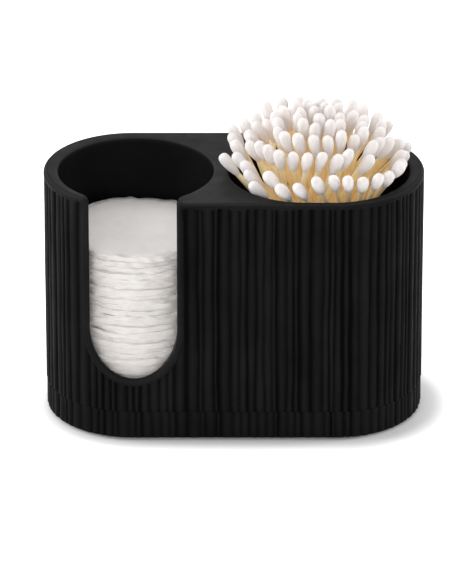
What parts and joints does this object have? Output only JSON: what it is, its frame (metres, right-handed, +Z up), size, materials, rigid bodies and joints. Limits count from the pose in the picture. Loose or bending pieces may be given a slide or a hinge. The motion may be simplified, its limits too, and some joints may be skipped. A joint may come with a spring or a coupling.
{
  "type": "cotton pad and swab holder",
  "caption": "Ribbed stadium-shaped desk holder with a slotted round well of cotton pads and an oval well of cotton swabs.",
  "frame": {"origin": "on the surface that the holder stands on, under the middle of its plan", "axes": "+X along the length towards the swab well, -Y out of the finger slot, +Z up"},
  "size_m": [0.15, 0.0694, 0.128],
  "materials": {
    "holder_plastic": "soft matte moulded",
    "foot_rubber": "matte",
    "cotton": "pressed cotton fibre",
    "bamboo": "bare, smooth"
  },
  "bodies": {
    "holder": {"housing": "holder_plastic", "base": "holder_plastic", "foot_left_front": "foot_rubber", "foot_left_rear": "foot_rubber", "foot_right_front": "foot_rubber", "foot_right_rear": "foot_rubber"},
    "pad_stack": {"cotton_pad_01": "cotton", "cotton_pad_02": "cotton", "cotton_pad_03": "cotton", "cotton_pad_04": "cotton", "cotton_pad_05": "cotton", "cotton_pad_06": "cotton", "cotton_pad_07": "cotton", "cotton_pad_08": "cotton", "cotton_pad_09": "cotton", "cotton_pad_10": "cotton", "cotton_pad_11": "cotton", "cotton_pad_12": "cotton", "cotton_pad_13": "cotton", "cotton_pad_14": "cotton", "cotton_pad_15": "cotton", "cotton_pad_16": "cotton", "cotton_pad_17": "cotton", "cotton_pad_18": "cotton", "cotton_pad_19": "cotton", "cotton_pad_20": "cotton", "cotton_pad_21": "cotton", "cotton_pad_22": "cotton", "cotton_pad_23": "cotton", "cotton_pad_24": "cotton", "cotton_pad_25": "cotton"},
    "top_pad": {"cotton_pad_26": "cotton"},
    "swab_bunch": {"swabs_core": "bamboo", "swabs_row_1": "bamboo", "swabs_row_2": "bamboo", "swabs_row_3": "bamboo", "swabs_row_4": "bamboo"}
  },
  "joints": [
    {"name": "pad_stack_lift", "type": "slide", "parent": "holder", "child": "pad_stack", "axis": [0, 0, 1], "range_m": [0, 0.09]},
    {"name": "top_pad_lift", "type": "slide", "parent": "pad_stack", "child": "top_pad", "axis": [0, 0, 1], "range_m": [0, 0.032]},
    {"name": "swab_bunch_lift", "type": "slide", "parent": "holder", "child": "swab_bunch", "axis": [0, 0, 1], "range_m": [0, 0.056]}
  ]
}
